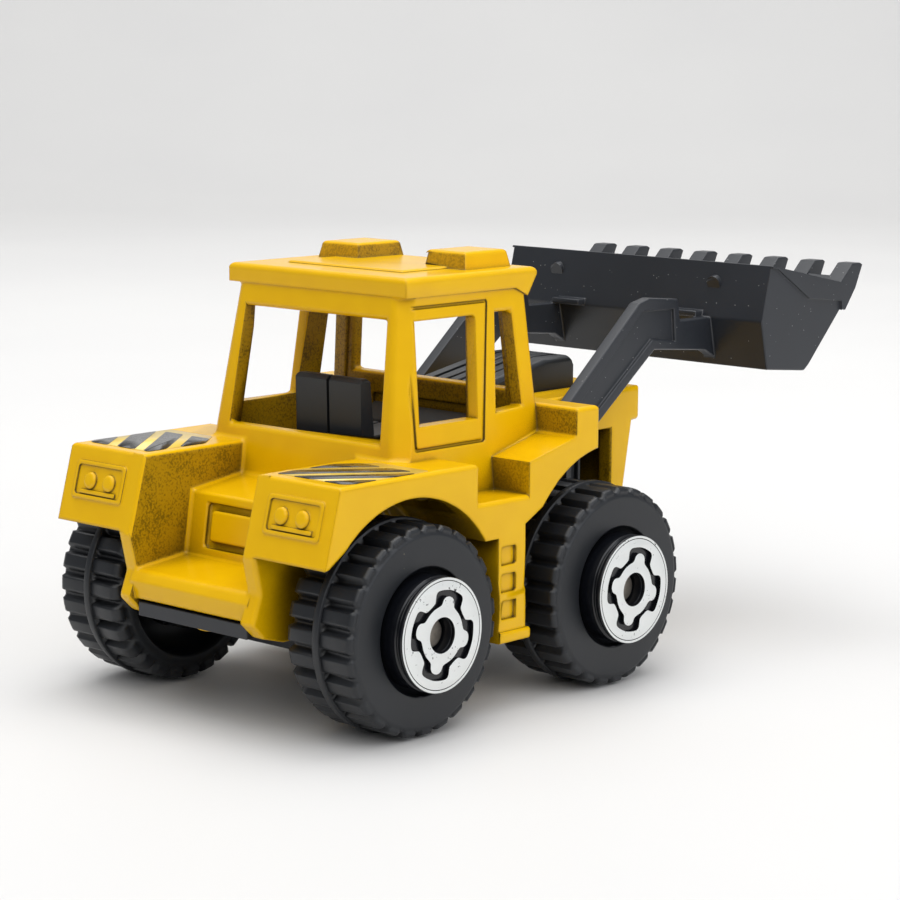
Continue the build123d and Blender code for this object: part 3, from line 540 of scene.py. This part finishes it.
def calmCorners(piece, radius, calm=cornerCalm):
    # a rounded edge that runs into a shallow one can throw a spike, so the edges at that corner get less
    mesh = piece.data
    spots = [vert.co.copy() for vert in mesh.vertices]
    surface = BVHTree.FromPolygons(spots, [polygon.vertices for polygon in mesh.polygons])
    weights = mesh.attributes["bevel_weight_edge"].data
    ends = [tuple(edge.vertices) for edge in mesh.edges]
    live = [i for i in range(len(ends)) if weights[i].value > 0]
    rounded = BVHTree.FromPolygons(spots, [(ends[i][0], ends[i][1], ends[i][1]) for i in live])
    corners = KDTree(len(spots))
    for index, spot in enumerate(spots):
        corners.insert(spot, index)
    corners.balance()

    def thrown(place):
        if surface.find_nearest(place)[3] > radius * calm["standOff"]:
            return True
        return (rounded.find_nearest(place)[3] > radius * calm["farFromEdge"]
                and corners.find(place)[2] > radius * calm["atCorner"])

    for attempt in range(calm["rounds"]):
        shown = piece.evaluated_get(bpy.context.evaluated_depsgraph_get()).data
        places = [vert.co.copy() for vert in shown.vertices]
        astray = {i for i, place in enumerate(places) if thrown(place)}
        shown.calc_loop_triangles()
        for triangle in shown.loop_triangles:
            facing, _, gap = surface.find_nearest(triangle.center)[1:]
            big = triangle.area > (radius * calm["smallFace"]) ** 2
            if big and gap < radius and facing.dot(triangle.normal) < calm["turnedOver"]:
                astray |= set(triangle.vertices)
        if not astray:
            break

        # Each stray point is traced back to the place it was thrown from
        roots = {}
        for edge in shown.edges:
            for spike, root in (edge.vertices, reversed(edge.vertices)):
                if spike in astray and root not in astray:
                    length = (places[spike] - places[root]).length
                    roots[spike] = min(roots.get(spike, (1.0, root)), (length, root))
        feet = [places[roots[spike][1] if spike in roots else spike] for spike in astray]
        guilty = {live[rounded.find_nearest(place)[2]] for place in feet}
        if attempt >= calm["wholeCornerFrom"]:
            tied = {corners.find(place)[1] for place in feet}
            guilty |= {i for i in live if tied & set(ends[i])}
        weights = mesh.attributes["bevel_weight_edge"].data
        for i in guilty:
            weights[i].value *= calm["keep"] if attempt < calm["noneFrom"] else 0.0
        mesh.update()
    print(" ", piece.name, "corners calm after", attempt, "rounds,", len(astray), "left")


def roundedCopy(node, name, body, material, shape):
    bm = bmesh.new()
    bm.from_mesh(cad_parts[node].data)
    bmesh.ops.remove_doubles(bm, verts=bm.verts, dist=shape["weld"] * mm)
    bmesh.ops.dissolve_limit(
        bm, angle_limit=math.radians(shape["flatAngle"]), verts=bm.verts, edges=bm.edges)
    weights = bm.edges.layers.float.new("bevel_weight_edge")
    steep = bm.edges.layers.int.new("steep")
    sharp = math.radians(shape["sharpAngle"])
    for edge in bm.edges:
        if len(edge.link_faces) == 2 and edge.calc_face_angle(0) >= sharp:
            edge[steep] = 1
    radius = shape["radius"] * mm
    for edge in (e for e in bm.edges if e[steep]):
        edge[weights] = min(1.0, roundingFor(edge, steep) / radius)
    piece = finishPiece(bm, name, body, [material], [node])
    rounding = piece.modifiers.new("moulded edges", "BEVEL")
    rounding.width = radius
    rounding.segments = shape["segments"]
    rounding.limit_method = "WEIGHT"
    rounding.use_clamp_overlap = False
    rounding.material = -1
    calmCorners(piece, radius)
    crisp = piece.data.attributes.new("sharp_edge", "BOOLEAN", "EDGE").data
    steepMarks = piece.data.attributes["steep"].data
    for i, weight in enumerate(piece.data.attributes["bevel_weight_edge"].data):
        crisp[i].value = steepMarks[i].value == 1 and weight.value < edgeRoom["crispBelow"]
    evenShading(piece)
    print("rounded", name)


roundedCopy("body_casting", "castBody", "loader", enamel, castBody)
roundedCopy("base_plate", "basePlate", "loader", basePlastic, mouldedBlack)
roundedCopy("seat_moulding", "cabSeat", "loader", interiorPlastic, mouldedBlack)
roundedCopy("engine_moulding", "engineBlock", "loader", interiorPlastic, mouldedBlack)
roundedCopy("shovel", "toothedShovel", "shovel_arms", shovelPlastic, mouldedBlack)

for axleName in ("rear_axle", "front_axle"):
    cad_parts[axleName].data.materials.clear()
    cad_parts[axleName].data.materials.append(axleSteel)


# Wheels, each part turned from a section of (radius, width) points in millimetres
def pieceName(kind, wheel):
    return kind + "".join(word.capitalize() for word in wheel.split("_"))


def turnSection(section, steps):
    bm = bmesh.new()
    verts = [bm.verts.new((radius, width, 0)) for radius, width in section]
    edges = [bm.edges.new(pair) for pair in zip(verts, verts[1:] + verts[:1])]
    bmesh.ops.spin(bm, geom=verts + edges, cent=(0, 0, 0), axis=(0, 1, 0),
                   angle=math.tau, steps=steps, use_merge=True)
    bmesh.ops.remove_doubles(bm, verts=bm.verts, dist=weldGap)
    return bm


def seatOnAxle(bm, low, high):
    # from its own axis to its place on the toy, mirrored for the right-hand side
    side = 1 if high.y > 0 else -1
    nearY = low.y if side > 0 else high.y
    bmesh.ops.scale(bm, vec=(mm, side * mm, mm), verts=bm.verts)
    bmesh.ops.translate(bm, vec=((low.x + high.x) / 2 * mm, nearY * mm, (low.z + high.z) / 2 * mm),
                        verts=bm.verts)
    bmesh.ops.recalc_face_normals(bm, faces=bm.faces)


tyreShape = {
    "inset": 0.01,          # keeps the round tyre just inside its box
    "lugs": 27,
    "stepsPerLug": 5,
    "lugSteps": 4,          # at its foot a lug takes four steps of five
    "lugTaper": 0.5,        # and loses this share of a step on each side by its top
    "treadDepth": 0.9,
    "treadReach": 0.5,      # faces this far below the carcass still belong to the tread
    "lugDrop": 0.2,         # the centre rib stands this much higher than the lugs
    "ribWidth": 0.8,
    "ribSlope": 0.06,
    "ribMargin": 0.03,
    "outerShoulder": 0.6,
    "innerShoulder": 1.0,
    "shoulderArc": (0, 22, 45, 68, 90),
    "outerDepth": 0.55,     # the grooves get shallower towards the outer shoulder
    "lugEnd": 46,           # degrees round the shoulder where a lug stops
    "lugEndShare": 0.35,    # how much of its height it has left there
    "recessRadius": 6.5,
    "recessLip": (0.2, 0.25),
    "recessDepth": 2.4,
    "bore": 4.2,
    "skirtRadius": 5.3,
    "skirtLip": (0.1, 0.15),
    "skirtDepth": 0.9,
    "crispAngle": 32,
    "edge": 0.1,
}


def tyreSection(shape, radius, width):
    # from the bore, over the recess, the inner shoulder, the rib and the outer shoulder to the skirt
    middle = width / 2
    carcass = radius - shape["treadDepth"]
    outerCarcass = radius - shape["outerDepth"]
    arc = [math.radians(angle) for angle in shape["shoulderArc"]]
    outer = [(outerCarcass - shape["outerShoulder"] * (1 - math.cos(a)),
              width - shape["outerShoulder"] * (1 - math.sin(a))) for a in arc]
    inner = [(carcass - shape["innerShoulder"] * (1 - math.cos(a)),
              shape["innerShoulder"] * (1 - math.sin(a))) for a in reversed(arc)]
    ribEdge, slope = shape["ribWidth"] / 2, shape["ribSlope"]
    recess, (recessLip, recessRound) = shape["recessRadius"], shape["recessLip"]
    skirt, (skirtLip, skirtRound) = shape["skirtRadius"], shape["skirtLip"]
    section = [(shape["bore"], shape["recessDepth"]), (recess - recessLip, shape["recessDepth"]),
               (recess, recessRound), (recess + recessLip, 0.0)] + inner
    section += [(carcass, middle - ribEdge), (radius, middle - ribEdge + slope),
                (radius, middle + ribEdge - slope), (carcass, middle + ribEdge)] + outer
    section += [(skirt + skirtLip, width), (skirt, width - skirtRound),
                (skirt, width - shape["skirtDepth"]), (shape["bore"], width - shape["skirtDepth"])]
    return section


def raiseLugs(bm, shape, radius, width):
    # the lugs rise from patches of the carcass, and fade out over the shoulders
    middle = width / 2
    carcass = radius - shape["treadDepth"]
    outerCarcass = radius - shape["outerDepth"]
    steps = shape["lugs"] * shape["stepsPerLug"]
    lugEnd = math.radians(shape["lugEnd"])

    def stepsRound(spot):
        return (math.atan2(spot.z, spot.x) % math.tau) / math.tau * steps

    def shoulderAt(spot):
        return shape["outerShoulder"] if spot.y > middle else shape["innerShoulder"]

    lugFaces = []
    for face in bm.faces:
        centre = face.calc_center_median()
        across = abs(centre.y - middle)
        bend = shoulderAt(centre)
        onTread = (math.hypot(centre.x, centre.z) > carcass - shape["treadReach"]
                   and (across - (middle - bend)) / bend < math.sin(lugEnd)
                   and across > shape["ribWidth"] / 2 + shape["ribMargin"])
        if onTread and int(stepsRound(centre)) % shape["stepsPerLug"] < shape["lugSteps"]:
            lugFaces.append(face)
    patchEdges = {edge for face in lugFaces for edge in face.edges}
    patchVerts = {vert for face in lugFaces for vert in face.verts}
    raised = bmesh.ops.extrude_face_region(bm, geom=list(set(lugFaces)) + list(patchEdges) + list(patchVerts))
    lugTop = radius - shape["lugDrop"]
    for vert in newVerts(raised):
        outward = Vector((vert.co.x, 0, vert.co.z)).normalized()
        bend = shoulderAt(vert.co)
        beyond = max(0.0, abs(vert.co.y - middle) - (middle - bend))
        lean = math.asin(min(1.0, beyond / bend))
        fall = (1 - shape["lugEndShare"]) * (lean / lugEnd) ** 2
        crown = outerCarcass if vert.co.y > middle else carcass
        rise = (lugTop - (math.hypot(vert.co.x, vert.co.z) if lean < 0.01 else crown)) * (1 - fall)
        sideways = math.copysign(1.0, vert.co.y - middle) * math.sin(lean)
        column = round(stepsRound(vert.co)) % shape["stepsPerLug"]
        taper = {0: 1, shape["lugSteps"]: -1}.get(column, 0) * shape["lugTaper"]
        vert.co += outward * rise * math.cos(lean) + Vector((0, sideways * rise, 0))
        vert.co.rotate(Matrix.Rotation(-taper * math.tau / steps, 3, "Y"))
    leftOver = [face for face in lugFaces if face.is_valid]
    if leftOver:
        bmesh.ops.delete(bm, geom=leftOver, context="FACES")
    for vert in bm.verts:
        vert.co.y = min(max(vert.co.y, 0.0), width)


def tyrePiece(wheel, shape):
    low, high = (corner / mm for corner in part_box("tyre_" + wheel))
    radius = (high.z - low.z) / 2 - shape["inset"]
    width = high.y - low.y
    bm = turnSection(tyreSection(shape, radius, width), shape["lugs"] * shape["stepsPerLug"])
    bmesh.ops.recalc_face_normals(bm, faces=bm.faces)
    raiseLugs(bm, shape, radius, width)
    breakEdges(bm, [edge for edge in bm.edges if edge.is_manifold and edge.is_convex
                    and edge.calc_face_angle(0) > math.radians(shape["crispAngle"])], shape["edge"])
    seatOnAxle(bm, low, high)
    evenShading(finishPiece(bm, pieceName("tyre", wheel), "wheel_" + wheel, [tyreVinyl],
                            ["tyre_" + wheel]))


hubShape = {
    "inset": 0.01,
    "bore": 0.86,
    "barrel": 4.17,
    "barrelChamfer": 0.2,
    "skirt": 2.62,          # from the face back to the flange on the tyre
    "faceChamfer": 0.08,
    "grooveOuter": 0.35,
    "grooveInner": 0.75,
    "grooveDepth": 0.25,
    "grooveSlope": 0.1,
    "dish": 0.3,
    "rim": 4.62,
    "well": 1.45,
    "wellDepth": 1.62,
    "steps": 96,
    "crispAngle": 40,
    "edge": 0.04,
}


def hubPiece(wheel, shape):
    low, high = (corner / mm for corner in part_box("hub_" + wheel))
    boss = (high.z - low.z) / 2 - shape["inset"]
    length = high.y - low.y
    barrel, chamfer, faceChamfer = shape["barrel"], shape["barrelChamfer"], shape["faceChamfer"]
    flange, dish, well = length - shape["skirt"], length - shape["dish"], length - shape["wellDepth"]
    grooveFloor, slope = boss - shape["grooveDepth"], shape["grooveSlope"]
    grooveInner, grooveOuter = length - shape["grooveInner"], length - shape["grooveOuter"]
    section = [
        (shape["bore"], 0), (barrel - chamfer, 0), (barrel, chamfer), (barrel, flange), (boss, flange),
        (boss, grooveInner), (grooveFloor, grooveInner + slope),
        (grooveFloor, grooveOuter - slope), (boss, grooveOuter),
        (boss, length - faceChamfer), (boss - faceChamfer, length), (shape["rim"], length),
        (shape["rim"], dish), (shape["well"], dish), (shape["well"], well), (shape["bore"], well),
    ]
    bm = turnSection(section, shape["steps"])
    breakEdges(bm, [edge for edge in bm.edges
                    if edge.calc_face_angle(0) > math.radians(shape["crispAngle"])], shape["edge"])
    seatOnAxle(bm, low, high)
    evenShading(finishPiece(bm, pieceName("hub", wheel), "wheel_" + wheel, [hubPlastic],
                            ["hub_" + wheel]))


# Outlines are (radius, angle from a knob's middle) for one quarter; the other three repeat them
foilShape = {
    "turn": 74.6,
    "rimOuter": 4.74,
    "rimInner": 4.54,
    "ringOuter": 4.47,
    "pocket": [(3.74, 0), (3.73, 10), (3.74, 19), (3.7, 24), (3.52, 27.5), (3.2, 30), (2.93, 32.5),
               (2.82, 37), (2.78, 45), (2.82, 53), (2.93, 57.5), (3.2, 60), (3.52, 62.5), (3.7, 66),
               (3.74, 71), (3.73, 80)],
    "spider": [(3.2, 0), (3.17, 5), (3.08, 9), (2.92, 12.5), (2.72, 14.7), (2.55, 17), (2.46, 21),
               (2.42, 28), (2.42, 36), (2.42, 45), (2.42, 54), (2.42, 62), (2.46, 69), (2.55, 73),
               (2.72, 75.3), (2.92, 77.5), (3.08, 81), (3.17, 85)],
    "hole": 1.5,
    "thickness": 0.33,
    "crispAngle": 60,
    "edge": 0.05,
}


def flatShape(rings):
    # a filled outline with its holes, made a mesh; the filling is a curve's own
    curve = bpy.data.curves.new("outline", "CURVE")
    curve.dimensions = "2D"
    curve.fill_mode = "BOTH"
    for ring in rings:
        spline = curve.splines.new("POLY")
        spline.points.add(len(ring) - 1)
        for point, (x, y) in zip(spline.points, ring):
            point.co = (x, y, 0, 1)
        spline.use_cyclic_u = True
    holder = bpy.data.objects.new("outline", curve)
    mesh = bpy.data.meshes.new_from_object(holder)
    bpy.data.objects.remove(holder)
    bpy.data.curves.remove(curve)
    return mesh


def circleRing(radius, steps=96):
    return [(radius * math.cos(math.tau * i / steps), radius * math.sin(math.tau * i / steps))
            for i in range(steps)]


def quarteredRing(quarter, turn):
    # the quarter's points four times round, with a smooth curve drawn through them
    corners = []
    for start in range(4):
        for radius, angle in quarter:
            at = math.radians(angle + 90 * start + turn)
            corners.append(Vector((radius * math.cos(at), radius * math.sin(at))))
    ring = []
    count = len(corners)
    for i in range(count):
        before, here, after, later = (corners[(i + k) % count] for k in (-1, 0, 1, 2))
        for share in (0.0, 0.33, 0.67):
            a = here * 2
            b = (after - before) * share
            c = (before * 2 - here * 5 + after * 4 - later) * share ** 2
            d = (-before + here * 3 - after * 3 + later) * share ** 3
            ring.append(tuple((a + b + c + d) / 2))
    return ring


def foilPiece(wheel, shape):
    low, high = (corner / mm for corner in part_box("hub_print_" + wheel))
    thickness = shape["thickness"]
    art = [
        [circleRing(shape["rimOuter"]), circleRing(shape["rimInner"])],
        [circleRing(shape["ringOuter"]), quarteredRing(shape["pocket"], shape["turn"])],
        [quarteredRing(shape["spider"], shape["turn"]), circleRing(shape["hole"], 48)],
    ]
    bm = bmesh.new()
    for rings in art:
        mesh = flatShape(rings)
        bm.from_mesh(mesh)
        bpy.data.meshes.remove(mesh)
    bmesh.ops.remove_doubles(bm, verts=bm.verts, dist=weldGap)
    raised = bmesh.ops.extrude_face_region(bm, geom=bm.faces[:], use_keep_orig=True)
    bmesh.ops.translate(bm, vec=(0, 0, thickness), verts=newVerts(raised))
    bmesh.ops.recalc_face_normals(bm, faces=bm.faces)
    crispAngle = math.radians(shape["crispAngle"])
    breakEdges(bm, [edge for edge in bm.edges if edge.is_manifold and edge.calc_face_angle(0) > crispAngle
                    and all(vert.co.z > thickness / 2 for vert in edge.verts)], shape["edge"])
    for face in bm.faces:
        # foil on top, bare plastic down the sides
        face.material_index = 0 if face.normal.z > 0.25 else 1
    side = 1 if high.y > 0 else -1
    outerY = high.y if side > 0 else low.y
    stand = Matrix(((1, 0, 0, 0), (0, 0, side, 0), (0, 1, 0, 0), (0, 0, 0, 1)))
    bmesh.ops.transform(bm, matrix=stand, verts=bm.verts)
    bmesh.ops.translate(bm, vec=((low.x + high.x) / 2, outerY - side * thickness, (low.z + high.z) / 2),
                        verts=bm.verts)
    bmesh.ops.scale(bm, vec=(mm, mm, mm), verts=bm.verts)
    bmesh.ops.recalc_face_normals(bm, faces=bm.faces)
    evenShading(finishPiece(bm, pieceName("hubFoil", wheel), "wheel_" + wheel, [silverFoil, hubPlastic],
                            ["hub_print_" + wheel]))


for wheelName in wheelNames:
    tyrePiece(wheelName, tyreShape)
    hubPiece(wheelName, hubShape)
    foilPiece(wheelName, foilShape)
print("wheels turned")


# Warning bars printed on the fender tops, over a thinner cream ground
stripeShape = {
    "bars": 4,
    "slope": 0.78,
    "firstEdge": 13.1,      # where the outermost bar starts, measured out from the centre line
    "pitch": 3.45,
    "barWidth": 2.3,
    "barLength": 8.4,       # the bars stop short of the print's front edge
    "groundLength": 9.6,
    "barThickness": 0.04,
    "groundThickness": 0.02,
    "lift": 0.005,          # clear of the fender's own face
    "corner": 0.35,
}


def stripePiece(sideName, shape):
    low, high = (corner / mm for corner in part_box("stripe_print_" + sideName))
    side = 1 if sideName == "left" else -1
    near = min(abs(low.y), abs(high.y))
    far = max(abs(low.y), abs(high.y))
    firstOuter = shape["firstEdge"] + shape["barWidth"]
    areas = [(firstOuter - shape["pitch"] * count, shape["barWidth"], shape["barLength"],
              shape["barThickness"], 0) for count in range(shape["bars"])]
    areas.append((firstOuter, shape["barWidth"] + shape["pitch"] * (shape["bars"] - 1),
                  shape["groundLength"], shape["groundThickness"], 1))
    bm = bmesh.new()
    for outerEdge, width, length, thickness, materialIndex in areas:
        area = bmesh.new()
        bmesh.ops.create_grid(area, x_segments=1, y_segments=1, size=1)
        bmesh.ops.scale(area, vec=((high.x - low.x) / 2, (far - near) / 2, 1), verts=area.verts)
        bmesh.ops.translate(area, vec=((low.x + high.x) / 2, (near + far) / 2, 0), verts=area.verts)
        cuts = [
            ((low.x, outerEdge, 0), (-shape["slope"], 1, 0)),
            ((low.x, outerEdge - width, 0), (shape["slope"], -1, 0)),
            ((low.x + length, 0, 0), (1, 0, 0)),
        ]
        for place, direction in cuts:
            bmesh.ops.bisect_plane(area, geom=area.verts[:] + area.edges[:] + area.faces[:],
                                   plane_co=place, plane_no=direction, clear_outer=True)
        if area.faces:
            bmesh.ops.bevel(area, geom=area.verts[:], offset=shape["corner"], offset_type="OFFSET",
                            segments=3, profile=0.5, affect="VERTICES", clamp_overlap=True, material=-1)
        raised = bmesh.ops.extrude_face_region(area, geom=area.faces[:], use_keep_orig=True)
        bmesh.ops.translate(area, vec=(0, 0, thickness), verts=newVerts(raised))
        for face in area.faces:
            face.material_index = materialIndex
        mesh = bpy.data.meshes.new("printedArea")
        area.to_mesh(mesh)
        area.free()
        bm.from_mesh(mesh)
        bpy.data.meshes.remove(mesh)
    bmesh.ops.translate(bm, vec=(0, 0, low.z + shape["lift"]), verts=bm.verts)
    bmesh.ops.scale(bm, vec=(mm, side * mm, mm), verts=bm.verts)
    bmesh.ops.recalc_face_normals(bm, faces=bm.faces)
    finishPiece(bm, "warningBars" + sideName.capitalize(), "loader", [stripeInk, creamInk],
                ["stripe_print_" + sideName])


for sideName in ("left", "right"):
    stripePiece(sideName, stripeShape)
print("bars printed")


# The studio: place in millimetres, roll in degrees, shift in the lens's own units
cameraView = {
    "place": (-183.18, -163.0, 58.25),
    "forward": (0.72568591, 0.66969837, -0.15774676),
    "roll": 0.376,
    "lens": 107.40,
    "shift": (0.01625, -0.0028),
}


def placeCamera(view):
    forward = Vector(view["forward"]).normalized()
    right = forward.cross(Vector((0, 0, 1))).normalized()
    up = right.cross(forward)
    roll = math.radians(view["roll"])
    right, up = right * math.cos(roll) + up * math.sin(roll), up * math.cos(roll) - right * math.sin(roll)
    lens = bpy.data.cameras.new("studioCamera")
    lens.sensor_width = 36.0
    lens.lens = view["lens"]
    lens.shift_x, lens.shift_y = view["shift"]
    lens.clip_start = 0.005
    camera = bpy.data.objects.new("studioCamera", lens)
    bpy.context.scene.collection.objects.link(camera)
    turned = Matrix((right, up, -forward)).transposed().to_4x4()
    camera.matrix_world = Matrix.Translation(Vector(view["place"]) * mm) @ turned
    bpy.context.scene.camera = camera


# A floor of matte paper that bends up into the background; metres and degrees
sweepShape = {
    "front": -0.9,
    "back": 0.55,
    "bend": 0.35,
    "bendSteps": 20,
    "top": 0.9,
    "halfWidth": 1.1,
    "turn": 42.7,
    "paper": "#DCDBD9",
    "paperShade": "#D6D5D4",
    "cloudScale": 14.0,
}


def makeSweep(shape):
    bm = bmesh.new()
    corners = [(shape["front"], -1), (shape["back"], -1), (shape["back"], 1), (shape["front"], 1)]
    verts = [bm.verts.new((x, y * shape["halfWidth"], 0)) for x, y in corners]
    bm.faces.new(verts)
    edge = next(e for e in bm.edges if all(v.co.x > 0 for v in e.verts))
    bent = bmesh.ops.spin(bm, geom=[edge] + list(edge.verts), cent=(shape["back"], 0, shape["bend"]),
                          axis=(0, -1, 0), angle=math.pi / 2, steps=shape["bendSteps"])
    lastEdges = [item for item in bent["geom_last"] if isinstance(item, bmesh.types.BMEdge)]
    wall = bmesh.ops.extrude_edge_only(bm, edges=lastEdges)
    bmesh.ops.translate(bm, vec=(0, 0, shape["top"]), verts=newVerts(wall))
    bmesh.ops.remove_doubles(bm, verts=bm.verts, dist=1e-6)
    bmesh.ops.rotate(bm, cent=(0, 0, 0), matrix=Matrix.Rotation(math.radians(shape["turn"]), 3, "Z"),
                     verts=bm.verts)
    bmesh.ops.recalc_face_normals(bm, faces=bm.faces)
    mesh = bpy.data.meshes.new("studioSweep")
    bm.to_mesh(mesh)
    bm.free()
    mesh.shade_smooth()
    material, tree, shader = newMaterial("mattePaper", {"Specular IOR Level": 0.25, "Roughness": 0.55})
    place = addNode(tree, "ShaderNodeTexCoord")
    cloud = addNode(tree, "ShaderNodeTexNoise", {
        "Scale": shape["cloudScale"], "Detail": 2.0,
    }, {"Vector": place.outputs["Object"]})
    tone = addNode(tree, "ShaderNodeMix", {
        "data_type": "RGBA", 6: linearColour(shape["paper"]), 7: linearColour(shape["paperShade"]),
    }, {0: cloud.outputs["Fac"]})
    tree.links.new(tone.outputs[2], shader.inputs["Base Color"])
    mesh.materials.append(material)
    sweep = bpy.data.objects.new("studioSweep", mesh)
    bpy.context.scene.collection.objects.link(sweep)


# Each light: place and aim in millimetres, size in metres, power in watts
studioLights = {
    "overhead": {
        "place": (40, 60, 620), "aim": (0, 0, 10), "size": 0.75, "power": 3.1, "colour": "#FFFFFF",
    },
    "behindCamera": {
        "place": (-520, -420, 700), "aim": (0, 0, 15), "size": 0.85, "power": 4.2, "colour": "#FFFEFC",
    },
    "rightSide": {
        "place": (120, -560, 320), "aim": (10, 0, 15), "size": 0.45, "power": 1.3, "colour": "#F6F9FF",
    },
    "backdrop": {
        "place": (150, 120, 700), "aim": (560, 480, 150), "size": 0.6, "power": 2.6, "colour": "#FFFFFF",
    },
}
studioAir = {"colour": "#DADDE2", "strength": 0.4}


def placeLights(lights, air):
    for name, light in lights.items():
        lamp = bpy.data.lights.new(name, "AREA")
        lamp.size = light["size"]
        lamp.energy = light["power"]
        lamp.color = linearColour(light["colour"])[:3]
        holder = bpy.data.objects.new(name, lamp)
        bpy.context.scene.collection.objects.link(holder)
        place = Vector(light["place"]) * mm
        aim = Vector(light["aim"]) * mm - place
        holder.location = place
        holder.rotation_euler = aim.to_track_quat("-Z", "Y").to_euler()
    world = bpy.data.worlds.new("studioAir")
    world.use_nodes = True
    background = world.node_tree.nodes["Background"]
    background.inputs["Color"].default_value = linearColour(air["colour"])
    background.inputs["Strength"].default_value = air["strength"]
    bpy.context.scene.world = world


placeCamera(cameraView)
makeSweep(sweepShape)
placeLights(studioLights, studioAir)
bpy.context.scene.view_settings.view_transform = "Standard"  # keeps the enamel's full colour
print("studio set")
